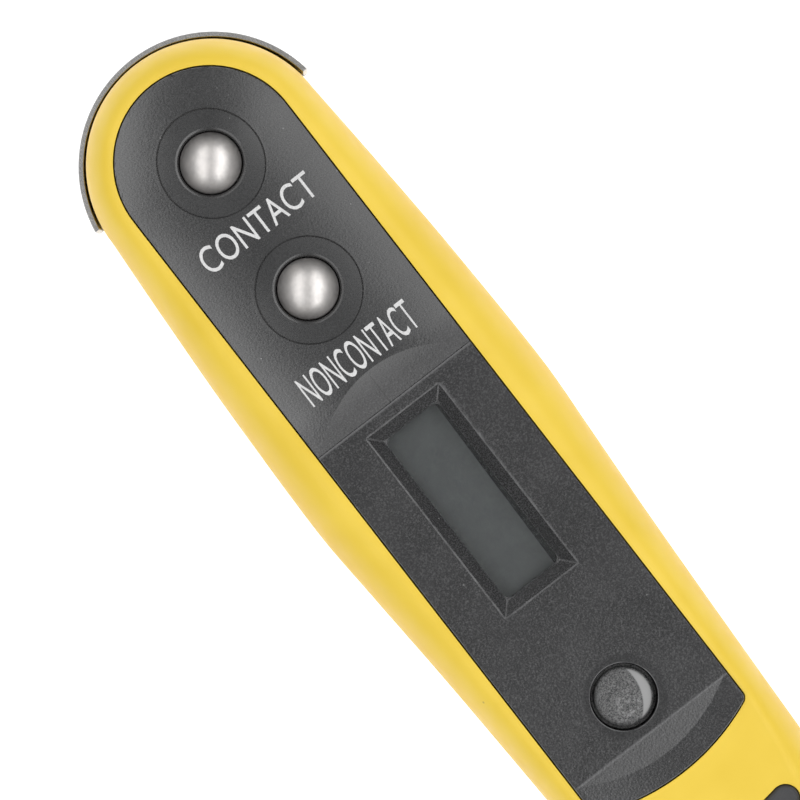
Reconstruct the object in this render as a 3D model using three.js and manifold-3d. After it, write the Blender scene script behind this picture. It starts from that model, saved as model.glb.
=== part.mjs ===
// Digital voltage tester pen with a direct button, a sensing button, a liquid crystal window and a lamp.
// Millimetres, +Z up. The pen lies on its back, face up: X is its width, +Y points to the butt end,
// the blade points to -Y, and the origin is under the middle of its length, on the surface it lies on.
// "along" is always the distance from the casing's butt end towards the blade.

import * as THREE from 'three';
import { mergeVertices } from 'three/addons/utils/BufferGeometryUtils.js';
import Module from 'manifold-3d';

const wasm = await Module();
wasm.setup();

// ---------------------------------------------------------------- driving dimensions

const penLength = 139; // clip band to blade tip
const bandProud = 0.95; // the clip band stands this far behind the zero of "along"
const buttY = penLength / 2 - bandProud;

const partingZ = 7.5; // the shells meet here, and the blade's axis is here
const faceZ = 14; // top of the yellow rim
const plateauZ = 14.1; // flat top of the face panel
const wall = 1.5;

const buttCentre = 10.3; // centre of the round butt end
const buttRadius = 10.5;
const noseEnd = 104; // the collar's seat
const cavityEnd = 99;

const panelHalf = 7.82;
const panelCornerAt = 71.5; // bottom corners of the face panel
const panelEndAt = 73.2; // lowest point of its bottom arc
const panelGap = 0.12;
const panelBackZ = 11.9;
const ledgeWidth = 1.2;

const buttonPlaces = [10.3, 23.3];
const buttonRadius = 2.52;
const buttonRimZ = 12.9;
const buttonDomeHeight = 1.4;
const buttonHoleRadius = 2.66;

const troughRadius = 30.9; // the trough that the buttons stand in
const troughDepth = 1;
const troughEndAt = 34.9; // where its end slope meets the flat top
const slopeUp = 0.3125; // rise per millimetre of that end slope

const lowerSlopeAt = 69.2; // where the flat top starts to fall towards the blade
const slopeDown = 0.196;
const lowerHollowRadius = 80;
const lowerHollowDrop = 0.35;

const displayAt = 45.2; // centre of the display window
const bezelHalf = [3.75, 9.3];
const windowHalf = [2.72, 8.2];
const windowLipZ = [12.6, 13.2];
const lensHalf = [3.4, 8.9];

const lampAt = 65.4;
const lampHoleRadius = 2.85;
const lampRadius = 2.45;

const boardZ = [7.8, 8.8];
const boardHalf = 6.6;
const boardEndAt = 73;
const screwPlaces = [16.8, 59.4];

const bladeRadius = 1.6;
const bladeBackAt = 83;
const bladeFlangeAt = [94.3, 95.6];
const bladeFlatAt = 128;
const bladeTipAt = penLength - bandProud;

const spigotRadius = 3.6;
const spigotEndAt = 109;

const clipSheet = 0.45;
const clipWidth = 9;
const clipPlateZ = [2.7, 3.15];
const clipBendAt = 22.6; // the root ends here and the springy arm starts
const headBackZ = 3.2; // back of the casing along the head and the handle
const gripZ = 0.3; // back of the casing under the grip ribs
const ribProud = 0.3;
const ribDepth = 1;
const ribs = [
  { at: 79.9, reach: 6.5 },
  { at: 84.9, reach: 5.9 },
  { at: 89.7, reach: 4.9 },
  { at: 94.3, reach: 3.9 },
];
const ribHalf = 1.15;
const ribBow = 33; // radius of the ribs' bow towards the blade

// ---------------------------------------------------------------- finishes

const finish = (color, roughness, metalness = 0) => ({ color, roughness, metalness });
const finishes = {
  yellowCasing: finish(0xf5cf4e, 0.5),
  blackPanel: finish(0x3c3d40, 0.55),
  rubber: finish(0x35363a, 0.8),
  steel: finish(0xb9b6b2, 0.35, 1),
  spring: finish(0x9fa3a8, 0.3, 1),
  brass: finish(0xc7a34f, 0.3, 1),
  clear: finish(0xe6edf0, 0.1),
  crystal: finish(0x5d6568, 0.2),
  film: finish(0x70787a, 0.35),
  frameWhite: finish(0xd9dad6, 0.6),
  board: finish(0x2c6a3c, 0.45),
  resin: finish(0x1a1a1c, 0.4),
  ceramic: finish(0x9fb7c9, 0.5),
  chipBlack: finish(0x222326, 0.4),
  sleeve: finish(0x2a2b2e, 0.6),
};

// ---------------------------------------------------------------- shape helpers

const yAt = (along) => buttY - along;

// A smooth curve through [place, value] pairs that never overshoots them.
function curveThrough(points) {
  const rise = (i) => (points[i + 1][1] - points[i][1]) / (points[i + 1][0] - points[i][0]);
  const last = points.length - 1;
  const slope = points.map((_, i) => {
    if (i === 0) return rise(0);
    if (i === last) return rise(last - 1);
    const before = rise(i - 1);
    const after = rise(i);
    return before * after <= 0 ? 0 : (2 * before * after) / (before + after);
  });
  return (place) => {
    const x = Math.min(Math.max(place, points[0][0]), points[last][0]);
    let i = 0;
    while (i < last - 1 && x > points[i + 1][0]) i += 1;
    const width = points[i + 1][0] - points[i][0];
    const t = (x - points[i][0]) / width;
    const bend = (a, b) => a * t * (1 - t) ** 2 * width - b * t * t * (1 - t) * width;
    const blend = t * t * (3 - 2 * t);
    return points[i][1] * (1 - blend) + points[i + 1][1] * blend + bend(slope[i], slope[i + 1]);
  };
}

function asSolid(geometry) {
  const bare = new THREE.BufferGeometry();
  bare.setAttribute('position', geometry.getAttribute('position').clone());
  if (geometry.index) bare.setIndex(geometry.index.clone());
  const merged = mergeVertices(bare, 1e-4);
  const corners = merged.index.array;
  const kept = [];
  for (let i = 0; i < corners.length; i += 3) {
    const [a, b, c] = corners.slice(i, i + 3);
    if (a !== b && b !== c && c !== a) kept.push(a, b, c);
  }
  const vertProperties = new Float32Array(merged.getAttribute('position').array);
  return new wasm.Manifold(new wasm.Mesh({ numProp: 3, vertProperties, triVerts: new Uint32Array(kept) }));
}

function asGeometry(solid) {
  const mesh = solid.getMesh();
  const geometry = new THREE.BufferGeometry();
  geometry.setAttribute('position', new THREE.BufferAttribute(new Float32Array(mesh.vertProperties), 3));
  geometry.setIndex(new THREE.BufferAttribute(new Uint32Array(mesh.triVerts), 1));
  geometry.computeVertexNormals();
  return geometry;
}

// A closed solid through rings of [x, z] points, each ring standing at its own place along the pen.
function loft(rings) {
  const count = rings[0].points.length;
  const positions = rings.flatMap((ring) => ring.points.flatMap(([x, z]) => [x, yAt(ring.along), z]));
  const faces = [];
  for (let r = 0; r < rings.length - 1; r += 1) {
    for (let i = 0; i < count; i += 1) {
      const j = (i + 1) % count;
      const [a, b] = [r * count + i, r * count + j];
      faces.push(a, b, b + count, a, b + count, a + count);
    }
  }
  const cap = (ring, first, flip) => {
    const outline = ring.points.map(([x, z]) => new THREE.Vector2(x, z));
    for (const [a, b, c] of THREE.ShapeUtils.triangulateShape(outline, [])) {
      faces.push(first + a, first + (flip ? c : b), first + (flip ? b : c));
    }
  };
  const ends = [rings[0], rings[rings.length - 1]];
  if (Math.abs(THREE.ShapeUtils.area(ends[0].points.map(([x, z]) => ({ x, y: z })))) > 1e-3) {
    cap(ends[0], 0, true);
  }
  cap(ends[1], (rings.length - 1) * count, false);
  const geometry = new THREE.BufferGeometry();
  geometry.setAttribute('position', new THREE.Float32BufferAttribute(positions, 3));
  geometry.setIndex(faces);
  return asSolid(geometry);
}

// Upright plate with an outline in the pen's plan view.
function plate(shape, z0, z1, curveSegments = 12) {
  const geometry = new THREE.ExtrudeGeometry(shape, { depth: z1 - z0, bevelEnabled: false, curveSegments });
  return asSolid(geometry.translate(0, 0, z0));
}

function block(x0, x1, along0, along1, z0, z1) {
  const geometry = new THREE.BoxGeometry(x1 - x0, along1 - along0, z1 - z0);
  return asSolid(geometry.translate((x0 + x1) / 2, yAt((along0 + along1) / 2), (z0 + z1) / 2));
}

function post(along, radius, z0, z1, segments = 20, x = 0) {
  const geometry = new THREE.CylinderGeometry(radius, radius, z1 - z0, segments).rotateX(Math.PI / 2);
  return asSolid(geometry.translate(x, yAt(along), (z0 + z1) / 2));
}

// Round bar along the pen, on the blade's axis.
function bar(radius, along0, along1, segments = 24) {
  const geometry = new THREE.CylinderGeometry(radius, radius, along1 - along0, segments);
  return asSolid(geometry.translate(0, yAt((along0 + along1) / 2), partingZ));
}

// Side view outline of [along, z] points, pushed out to both sides of the middle plane.
function sidePrism(outline, halfWidth) {
  const shape = new THREE.Shape(outline.map(([along, z]) => new THREE.Vector2(yAt(along), z)));
  const geometry = new THREE.ExtrudeGeometry(shape, { depth: 2 * halfWidth, bevelEnabled: false });
  geometry.rotateX(Math.PI / 2).rotateZ(Math.PI / 2);
  return asSolid(geometry.translate(-halfWidth, 0, 0));
}

// Compression spring of round wire, standing on z = 0 around the Z axis.
function coil(meanRadius, wireRadius, height, turns) {
  const steps = turns * 8;
  const centres = [];
  for (let i = 0; i <= steps; i += 1) {
    const angle = (i / steps) * turns * 2 * Math.PI;
    const z = wireRadius + (i / steps) * (height - 2 * wireRadius);
    centres.push(new THREE.Vector3(meanRadius * Math.cos(angle), meanRadius * Math.sin(angle), z));
  }
  const path = new THREE.CatmullRomCurve3(centres);
  const wire = new THREE.Shape().absarc(0, 0, wireRadius, 0, 2 * Math.PI);
  return new THREE.ExtrudeGeometry(wire, { steps, extrudePath: path, curveSegments: 3 });
}

const part = new THREE.Group();

function addPiece(name, shape, look) {
  const geometry = shape.isBufferGeometry ? shape : asGeometry(shape);
  const mesh = new THREE.Mesh(geometry, new THREE.MeshStandardMaterial(look));
  mesh.name = name;
  part.add(mesh);
  return mesh;
}

// ---------------------------------------------------------------- casing

const halfWidthAt = curveThrough([
  [buttCentre, buttRadius],
  [18, 10.98],
  [28, 11.47],
  [39.6, 11.73],
  [46.8, 11.37],
  [55, 10.88],
  [63, 10.51],
  [71, 10.18],
  [80, 9.8],
  [88, 9.07],
  [96, 7.42],
  [noseEnd, 5.5],
]);

const front = {
  up: 1,
  edgeZ: curveThrough([[0, faceZ], [64, faceZ], [76, 13.6], [noseEnd, 13]]),
  flat: curveThrough([[0, 7.9], [70, 7.9], [80, 6.6], [90, 3.8], [97, 1.4], [noseEnd, 0]]),
  flank: curveThrough([[0, 0.8], [70, 0.8], [noseEnd, 0]]),
};

const rear = {
  up: -1,
  edgeZ: curveThrough([[0, headBackZ], [54, headBackZ], [72, gripZ], [92, gripZ], [noseEnd, 2]]),
  flat: curveThrough([[0, 8.9], [14, 8.9], [40, 7.8], [70, 6.2], [86, 4.8], [97, 1.4], [noseEnd, 0]]),
  flank: curveThrough([[0, 2.9], [14, 2.9], [40, 1], [70, 0.6], [noseEnd, 0]]),
};

// One half section of the casing, from the left edge over the top (or the back) to the right edge.
function halfSection(side, along, inset, steps) {
  const back = Math.max(0, buttCentre - along);
  const place = Math.max(along, buttCentre);
  const rim = halfWidthAt(place) - inset;
  const flat = Math.min(side.flat(place), rim - 0.2);
  const flank = side.flank(place);
  const height = Math.abs(side.edgeZ(place) - partingZ) - flank - inset;
  const start = Math.min(rim, Math.max(back, flat));
  const sweep = Math.acos((start - flat) / (rim - flat));
  const half = [[Math.sqrt(Math.max(0, rim * rim - back * back)), 0]];
  for (let i = 0; i <= steps; i += 1) {
    const angle = (sweep * i) / steps;
    const radius = flat + (rim - flat) * Math.cos(angle);
    half.push([Math.sqrt(Math.max(0, radius * radius - back * back)), flank + height * Math.sin(angle)]);
  }
  const right = half.map(([x, z]) => [x, partingZ + side.up * z]);
  const left = half.map(([x, z]) => [-x, partingZ + side.up * z]).reverse();
  return side.up > 0 ? [...right, ...left] : [...left, ...right].reverse();
}

const outside = { steps: 5, places: [18, 26, 33, 39.6, 46.8, 54, 60, 66, 72, 76, 82, 88, 92, 96, 100] };
const inside = { steps: 3, places: [26, 39.6, 54, 62, 72, 82, 92] };

function casingHalf(side, inset, end, { steps, places }) {
  const rim = buttRadius - inset;
  const stations = [];
  for (let i = 0; i <= steps; i += 1) {
    stations.push(buttCentre - rim * Math.cos((i / steps) * (Math.PI / 2)));
  }
  stations.push(...places.filter((place) => place < end), end);
  return loft(stations.map((along) => ({ along, points: halfSection(side, along, inset, steps) })));
}

// Plan outline of the face panel, grown outwards by a margin.
function panelOutline(margin) {
  const half = panelHalf + margin;
  const sag = panelEndAt - panelCornerAt;
  const bottomRadius = (panelHalf * panelHalf + sag * sag) / (2 * sag) + margin;
  const bottomY = yAt(panelEndAt + margin) + bottomRadius;
  const turn = Math.acos(half / bottomRadius);
  return new THREE.Shape()
    .absarc(0, yAt(buttCentre), half, 0, Math.PI)
    .absarc(0, bottomY, bottomRadius, Math.PI + turn, 2 * Math.PI - turn);
}

// Plan outline of a grip rib: a bowed strip with round ends.
function ribOutline({ at, reach }, margin) {
  const half = ribHalf + margin;
  const centreY = yAt(at) + Math.sqrt(ribBow * ribBow - reach * reach);
  const lean = Math.asin((reach - ribHalf) / ribBow);
  const down = -Math.PI / 2;
  const endX = ribBow * Math.sin(lean);
  const endY = centreY - ribBow * Math.cos(lean);
  return new THREE.Shape()
    .absarc(0, centreY, ribBow + half, down - lean, down + lean)
    .absarc(endX, endY, half, down + lean, Math.PI / 2 + lean)
    .absarc(0, centreY, ribBow - half, down + lean, down - lean, true)
    .absarc(-endX, endY, half, Math.PI / 2 - lean, 1.5 * Math.PI - lean);
}

function ribBlank(side, rib, margin) {
  const [low, high] = side.up > 0 ? [partingZ + 1, faceZ + 2] : [-1, partingZ - 1];
  return plate(ribOutline(rib, margin), low, high, 4);
}

const noseBore = () => bar(1.75, bladeBackAt - 1, spigotEndAt + 1).add(bar(3, 94.1, 95.8));

function addGripRibs(side, label) {
  const skin = casingHalf(side, -ribProud, noseEnd, outside);
  const bed = casingHalf(side, ribDepth, cavityEnd, inside);
  ribs.forEach((rib, i) => {
    const strip = ribBlank(side, rib, 0).intersect(skin).subtract(bed);
    addPiece(`${label}_grip_rib_${i + 1}`, strip, finishes.rubber);
  });
}

function cutRibGrooves(shell, side) {
  const bed = casingHalf(side, ribDepth + 0.1, cavityEnd, inside);
  return ribs.reduce((left, rib) => left.subtract(ribBlank(side, rib, 0.08).subtract(bed)), shell);
}

// The half casing with its hollow, its blade saddles and its half of the spigot for the collar.
function hollowHalf(side) {
  const outer = casingHalf(side, 0, noseEnd, outside);
  const inner = casingHalf(side, wall, cavityEnd, inside);
  const [low, high] = side.up > 0 ? [partingZ, faceZ] : [0, partingZ];
  const saddles = block(-8, 8, 84.5, 86, low, high).add(block(-8, 8, 92.5, 97.5, low, high));
  const spigot = bar(spigotRadius, noseEnd - 1, spigotEndAt).intersect(block(-4, 4, 100, 110, low, high));
  const within = casingHalf(side, wall - 0.3, cavityEnd, inside);
  return outer.subtract(inner).add(saddles.intersect(within)).add(spigot);
}

function addFrontShell() {
  const outer = casingHalf(front, 0, noseEnd, outside);
  const collar = plate(panelOutline(2.5), 10.9, panelBackZ - 0.05).intersect(outer);
  const shell = hollowHalf(front)
    .add(collar)
    .subtract(plate(panelOutline(panelGap), panelBackZ - 0.05, faceZ + 2, 16))
    .subtract(plate(panelOutline(-ledgeWidth), 9, panelBackZ))
    .subtract(noseBore());
  addPiece('front_shell', cutRibGrooves(shell, front), finishes.yellowCasing);
}

function addRearShell() {
  const [upper, lower] = screwPlaces;
  const shell = hollowHalf(rear)
    .add(post(upper, 2.3, headBackZ + 0.5, boardZ[0] - 0.1))
    .add(post(lower, 3, 4, boardZ[0] - 0.1, 24).add(post(lower, 3.2, 2.6, 4.6, 24)))
    .subtract(post(upper, 1, 0, 9, 16))
    .subtract(post(lower, 1, 0, 9, 16))
    .subtract(post(lower, 2.1, -1, 4.2, 24))
    .subtract(noseBore());
  addPiece('rear_shell', cutRibGrooves(shell, rear), finishes.yellowCasing);
}

function addNoseCollar() {
  const profile = [
    [3.78, 0], [5.4, 0], [5.3, 2], [4.4, 5.6], [3.9, 6.1], [2.42, 6.1], [2.42, 5.2], [3.78, 5.2], [3.78, 0],
  ].map(([radius, depth]) => new THREE.Vector2(radius, -depth));
  const collar = new THREE.LatheGeometry(profile.reverse(), 24);
  addPiece('nose_collar', collar, finishes.blackPanel).position.set(0, yAt(noseEnd + 0.1), partingZ);
}

// ---------------------------------------------------------------- face panel

// The space over the trough: a cylinder's hollow with a ball's hollow at its butt end.
function troughCutter(drop) {
  const half = 9.2;
  const topZ = plateauZ + 2;
  const lowZ = plateauZ - troughDepth - drop;
  const sweep = Math.asin(half / troughRadius);
  const steps = 8;
  const arc = [];
  for (let i = 0; i <= steps; i += 1) {
    const angle = (sweep * i) / steps;
    arc.push([troughRadius * Math.sin(angle), lowZ + troughRadius * (1 - Math.cos(angle))]);
  }
  const mirrored = arc.slice(1).map(([x, z]) => [-x, z]).reverse();
  const ring = [...mirrored, ...arc, [half, topZ], [-half, topZ]];
  const run = loft([buttCentre, troughEndAt + 3].map((along) => ({ along, points: ring })));
  const profile = [...arc, [half, topZ], [0, topZ]].map(([radius, z]) => new THREE.Vector2(radius, z));
  const bowl = new THREE.LatheGeometry(profile, 40).rotateX(Math.PI / 2).translate(0, yAt(buttCentre), 0);
  return run.add(asSolid(bowl));
}

// Keeps what stands above the slope that climbs from the trough to the flat top.
function overUpperSlope() {
  const reach = 40;
  const lowZ = plateauZ - reach * slopeUp;
  const start = troughEndAt - reach;
  const end = troughEndAt + 5;
  return sidePrism([[start, lowZ], [end, plateauZ + 5 * slopeUp], [end, 20], [start, 20]], 12);
}

function lowerCutter() {
  const end = panelEndAt + 3;
  const fall = (end - lowerSlopeAt) * slopeDown;
  const slope = sidePrism(
    [[lowerSlopeAt, plateauZ], [end, plateauZ - fall], [end, 20], [lowerSlopeAt, 20]],
    12,
  );
  const lowZ = plateauZ - lowerHollowDrop;
  const arc = [];
  for (let x = -9; x <= 9; x += 1.5) arc.push([x, lowZ + (x * x) / (2 * lowerHollowRadius)]);
  const ring = [...arc, [9, 18], [-9, 18]];
  return slope.intersect(loft([lowerSlopeAt - 1, end].map((along) => ({ along, points: ring }))));
}

function dishOutline(along) {
  const shape = new THREE.Shape();
  shape.absellipse(0, yAt(along + 0.15), 4.45, 4.5, 0, 2 * Math.PI);
  return shape;
}

// Sunk frame of the display: four sloping walls from the panel's top down to the window.
function bezelCutter() {
  const [topX, topY] = bezelHalf;
  const [lowX, lowY] = windowHalf;
  const rise = plateauZ - windowLipZ[1];
  const up = 1.5;
  const grow = (top, low) => top + ((top - low) / rise) * up;
  const level = (halfX, halfY, z) => [
    [-halfX, -halfY, z], [halfX, -halfY, z], [halfX, halfY, z], [-halfX, halfY, z],
  ];
  const corners = [
    ...level(lowX, lowY, windowLipZ[1]),
    ...level(grow(topX, lowX), grow(topY, lowY), plateauZ + up),
  ];
  const sides = [0, 1, 2, 3].flatMap((i) => {
    const j = (i + 1) % 4;
    return [i, j, j + 4, i, j + 4, i + 4];
  });
  const geometry = new THREE.BufferGeometry();
  geometry.setAttribute('position', new THREE.Float32BufferAttribute(corners.flat(), 3));
  geometry.setIndex([...sides, 0, 2, 1, 0, 3, 2, 4, 5, 6, 4, 6, 7]);
  return asSolid(geometry.translate(0, yAt(displayAt), 0));
}

function roundedRectangle(halfX, halfY, radius, along) {
  const y = yAt(along);
  return new THREE.Shape()
    .absarc(halfX - radius, y + halfY - radius, radius, 0, Math.PI / 2)
    .absarc(-halfX + radius, y + halfY - radius, radius, Math.PI / 2, Math.PI)
    .absarc(-halfX + radius, y - halfY + radius, radius, Math.PI, 1.5 * Math.PI)
    .absarc(halfX - radius, y - halfY + radius, radius, 1.5 * Math.PI, 2 * Math.PI);
}

function addFacePanel() {
  const pocket = [lensHalf[0] + 0.05, lensHalf[1] + 0.05];
  let panel = plate(panelOutline(0), panelBackZ, plateauZ, 16)
    .subtract(troughCutter(0).intersect(overUpperSlope()))
    .subtract(lowerCutter())
    .subtract(bezelCutter())
    .subtract(plate(roundedRectangle(...windowHalf, 0.6, displayAt), 12, 14, 4))
    .subtract(plate(roundedRectangle(...pocket, 0.4, displayAt), 11, windowLipZ[0], 2))
    .subtract(post(lampAt, lampHoleRadius, 11, 15, 24));
  for (const along of buttonPlaces) {
    panel = panel
      .subtract(troughCutter(0.12).intersect(plate(dishOutline(along), 12, 15, 12)))
      .subtract(post(along, buttonHoleRadius, 11, 15, 24));
  }
  for (const along of screwPlaces) {
    panel = panel
      .add(post(along, 1.8, boardZ[1] + 0.1, panelBackZ + 0.2))
      .subtract(post(along, 0.9, 8, panelBackZ + 0.3, 16));
  }
  addPiece('face_panel', panel, finishes.blackPanel);
}

// ---------------------------------------------------------------- buttons and their springs

function domeProfile() {
  const outerRadius = (buttonRadius ** 2 + buttonDomeHeight ** 2) / (2 * buttonDomeHeight);
  const innerEdge = buttonRadius - 0.42;
  const innerHeight = 1.2;
  const innerRadius = (innerEdge ** 2 + innerHeight ** 2) / (2 * innerHeight);
  const cap = (radius, edge, topZ) => {
    const sweep = Math.asin(edge / radius);
    const steps = 4;
    return Array.from({ length: steps + 1 }, (_, i) => {
      const angle = (sweep * i) / steps;
      return [radius * Math.sin(angle), topZ - radius * (1 - Math.cos(angle))];
    });
  };
  return [
    ...cap(outerRadius, buttonRadius, buttonDomeHeight),
    [buttonRadius, -1.3],
    [3.3, -1.3],
    [3.3, -1.75],
    [innerEdge, -1.75],
    ...cap(innerRadius, innerEdge, buttonDomeHeight - 0.4).reverse(),
  ];
}

function addButtons() {
  const profile = domeProfile().map(([radius, z]) => new THREE.Vector2(radius, z)).reverse();
  const names = ['direct', 'sensing'];
  names.forEach((name, i) => {
    const along = buttonPlaces[i];
    const dome = new THREE.LatheGeometry(profile, 20).rotateX(Math.PI / 2);
    addPiece(`${name}_button`, dome, finishes.steel).position.set(0, yAt(along), buttonRimZ);
    const spring = coil(1.5, 0.2, 4.15, 3.5);
    addPiece(`${name}_spring`, spring, finishes.spring).position.set(0, yAt(along), boardZ[1] + 0.05);
  });
}

// ---------------------------------------------------------------- display and lamp

function addDisplay() {
  const span = (half, along) => [along - half, along + half];
  const [lensX, lensY] = lensHalf;
  const pane = plate(roundedRectangle(lensX, lensY, 0.5, displayAt), 12, 12.55, 2);
  addPiece('display_window', pane, finishes.clear);
  const film = new THREE.BoxGeometry(5.9, 18.4, 0.12);
  const sheet = addPiece('display_polariser', film, finishes.film);
  sheet.position.set(-0.62, yAt(displayAt), 11.7);
  sheet.rotation.z = -0.016;
  addPiece('lcd_cell', block(-5, 5, ...span(10.5, displayAt), 10.2, 11.6), finishes.crystal);
  const strips = { left: -4.2, right: 4.2 };
  for (const [side, x] of Object.entries(strips)) {
    const strip = block(x - 0.7, x + 0.7, ...span(10, displayAt), boardZ[1] + 0.02, 10.18);
    addPiece(`zebra_strip_${side}`, strip, finishes.rubber);
  }
  const frame = block(-6.2, 6.2, ...span(11.7, displayAt), boardZ[1] + 0.02, 11.8)
    .subtract(block(-5.1, 5.1, ...span(10.6, displayAt), 8, 12));
  addPiece('display_frame', frame, finishes.frameWhite);
}

function addLamp() {
  const seat = boardZ[1] + 0.05;
  const dome = [];
  for (let i = 0; i <= 4; i += 1) {
    const angle = (i / 4) * (Math.PI / 2);
    dome.push([lampRadius * Math.sin(angle), 2.7 + lampRadius * Math.cos(angle)]);
  }
  const profile = [...dome, [lampRadius, 1], [2.9, 1], [2.9, 0], [1.6, 0], [1.6, 3], [0, 3.3]];
  const lens = new THREE.LatheGeometry(
    profile.map(([radius, z]) => new THREE.Vector2(radius, z)).reverse(),
    20,
  );
  addPiece('lamp_lens', lens.rotateX(Math.PI / 2), finishes.clear).position.set(0, yAt(lampAt), seat);
  const leadBottom = 6.9;
  const lead = (x, top) => block(x - 0.25, x + 0.25, lampAt - 0.25, lampAt + 0.25, leadBottom, top);
  const cup = post(lampAt, 0.75, 10.6, 11.5, 16, -0.5).subtract(post(lampAt, 0.5, 11.2, 12, 16, -0.5));
  addPiece('lamp_lead_cup', lead(-0.6, 11).add(cup), finishes.steel);
  const head = block(0.55, 1.25, lampAt - 0.4, lampAt + 0.4, 10.8, 11.4);
  addPiece('lamp_lead_post', lead(0.9, 11).add(head), finishes.steel);
}

// ---------------------------------------------------------------- circuit board

function addBoard() {
  const outline = new THREE.Shape()
    .absarc(0, yAt(buttCentre), boardHalf, 0, Math.PI)
    .lineTo(-boardHalf, yAt(boardEndAt))
    .lineTo(boardHalf, yAt(boardEndAt));
  let board = plate(outline, ...boardZ);
  for (const along of screwPlaces) board = board.subtract(post(along, 1.1, 7, 10, 16));
  for (const x of [-0.6, 0.9]) board = board.subtract(post(lampAt, 0.45, 7, 10, 12, x));
  addPiece('circuit_board', board, finishes.board);
}

function addBoardParts() {
  const under = boardZ[0] - 0.02;
  const blob = [[0, 0], [1.8, 0.1], [3, 0.6], [3.4, 1.3], [0, 1.3]];
  const resin = new THREE.LatheGeometry(blob.map(([r, z]) => new THREE.Vector2(r, z)), 16);
  addPiece('chip_blob', resin.rotateX(Math.PI / 2), finishes.resin).position.set(0, yAt(44), under - 1.3);
  const body = [
    [0, -5.4], [0.28, -5.4], [0.28, -3.2], [1, -3.1], [1.15, -2.6], [0.95, -1.9],
    [0.95, 1.9], [1.15, 2.6], [1, 3.1], [0.28, 3.2], [0.28, 5.4], [0, 5.4],
  ].map(([radius, y]) => new THREE.Vector2(radius, y));
  addPiece('safety_resistor', new THREE.LatheGeometry(body, 12), finishes.ceramic)
    .position.set(-3.2, yAt(31), under - 1.2);
  const chips = [
    ['filter_capacitor', 3.6, 27, finishes.ceramic],
    ['bias_resistor', 3.6, 33, finishes.chipBlack],
    ['lamp_resistor', 3, 66, finishes.chipBlack],
    ['clamp_diode', -3, 53, finishes.chipBlack],
  ];
  for (const [name, x, along, look] of chips) {
    const chip = new THREE.BoxGeometry(1.25, 2, 0.6);
    addPiece(name, chip, look).position.set(x, yAt(along), under - 0.3);
  }
}

// ---------------------------------------------------------------- probe

function addProbe() {
  const tab = sidePrism(
    [[69, 8.82], [73.35, 8.82], [73.35, 5.6], [73.75, 5.6], [73.75, 9.22], [69, 9.22]],
    2,
  );
  addPiece('probe_contact_tab', tab, finishes.brass);
  const spring = coil(1.35, 0.22, bladeBackAt - 73.9, 5).rotateX(Math.PI / 2);
  addPiece('probe_spring', spring, finishes.spring).position.set(0, yAt(73.8), partingZ);

  const ring = (along, halfX, halfZ, power) => ({
    along,
    points: Array.from({ length: 20 }, (_, i) => {
      const angle = (i / 20) * 2 * Math.PI;
      const bulge = (value) => Math.sign(value) * Math.abs(value) ** power;
      return [halfX * bulge(Math.cos(angle)), partingZ + halfZ * bulge(Math.sin(angle))];
    }),
  });
  const blade = loft([
    ring(bladeBackAt, bladeRadius - 0.3, bladeRadius - 0.3, 1),
    ring(bladeBackAt + 0.3, bladeRadius, bladeRadius, 1),
    ring(bladeFlatAt, bladeRadius, bladeRadius, 1),
    ring(130.5, 1.55, 1.15, 0.9),
    ring(133.5, 1.55, 0.6, 0.5),
    ring(bladeTipAt, 1.55, 0.28, 0.2),
  ]).add(bar(2.8, ...bladeFlangeAt));
  addPiece('probe_blade', blade, finishes.steel);

  const section = [[1.68, 0], [2.3, 0], [2.3, 17.5], [2.1, 18], [1.68, 18], [1.68, 0]];
  const tube = new THREE.LatheGeometry(
    section.map(([radius, depth]) => new THREE.Vector2(radius, -depth)).reverse(),
    20,
  );
  addPiece('blade_sleeve', tube, finishes.sleeve).position.set(0, yAt(109.6), partingZ);
}

// ---------------------------------------------------------------- pocket clip

const bandEndAt = 8.65; // where the band round the butt stops
const rootZ = [0, clipSheet];

function addClipCollar() {
  const inside = buttCentre + bandProud - clipSheet;
  const outside = inside + clipSheet;
  const band = post(buttCentre, outside, clipPlateZ[0], partingZ - 0.3, 72)
    .subtract(post(buttCentre, inside, clipPlateZ[1], partingZ, 72))
    .intersect(block(-12, 12, -2, bandEndAt, 0, 10));
  const tongue = block(-clipWidth / 2, clipWidth / 2, bandEndAt - 1, 19.6, ...clipPlateZ);
  const step = sidePrism([
    [19.3, clipPlateZ[0]], [20.9, rootZ[0]], [clipBendAt, rootZ[0]], [clipBendAt, rootZ[1]],
    [21.2, rootZ[1]], [19.6, clipPlateZ[1]], [19.3, clipPlateZ[1]],
  ], clipWidth / 2);
  const collar = band.add(tongue).add(step).subtract(post(screwPlaces[0], 1.05, 0, 5, 16));
  addPiece('clip_collar', collar, finishes.steel);
}

function addClipArm() {
  const start = clipBendAt + 0.3;
  const touch = 53.5;
  const top = headBackZ - 0.1;
  const armLift = 0.06; // keeps the arm off the surface that the root rests on
  const profile = sidePrism([
    [start, armLift], [touch - 1, top - clipSheet], [touch + 0.6, top - clipSheet],
    [57.4, 1.1], [57.4, 1.55], [touch + 1, top], [touch - 1, top], [start, clipSheet + armLift],
  ], clipWidth);
  const plan = new THREE.Shape()
    .moveTo(-clipWidth / 2, yAt(start - 1))
    .lineTo(-3.6, yAt(54))
    .absarc(0, yAt(53.8), 3.6, Math.PI, 2 * Math.PI)
    .lineTo(clipWidth / 2, yAt(start - 1));
  addPiece('clip_arm', profile.intersect(plate(plan, -1, 5)), finishes.steel);
}

// ---------------------------------------------------------------- screws

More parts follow.
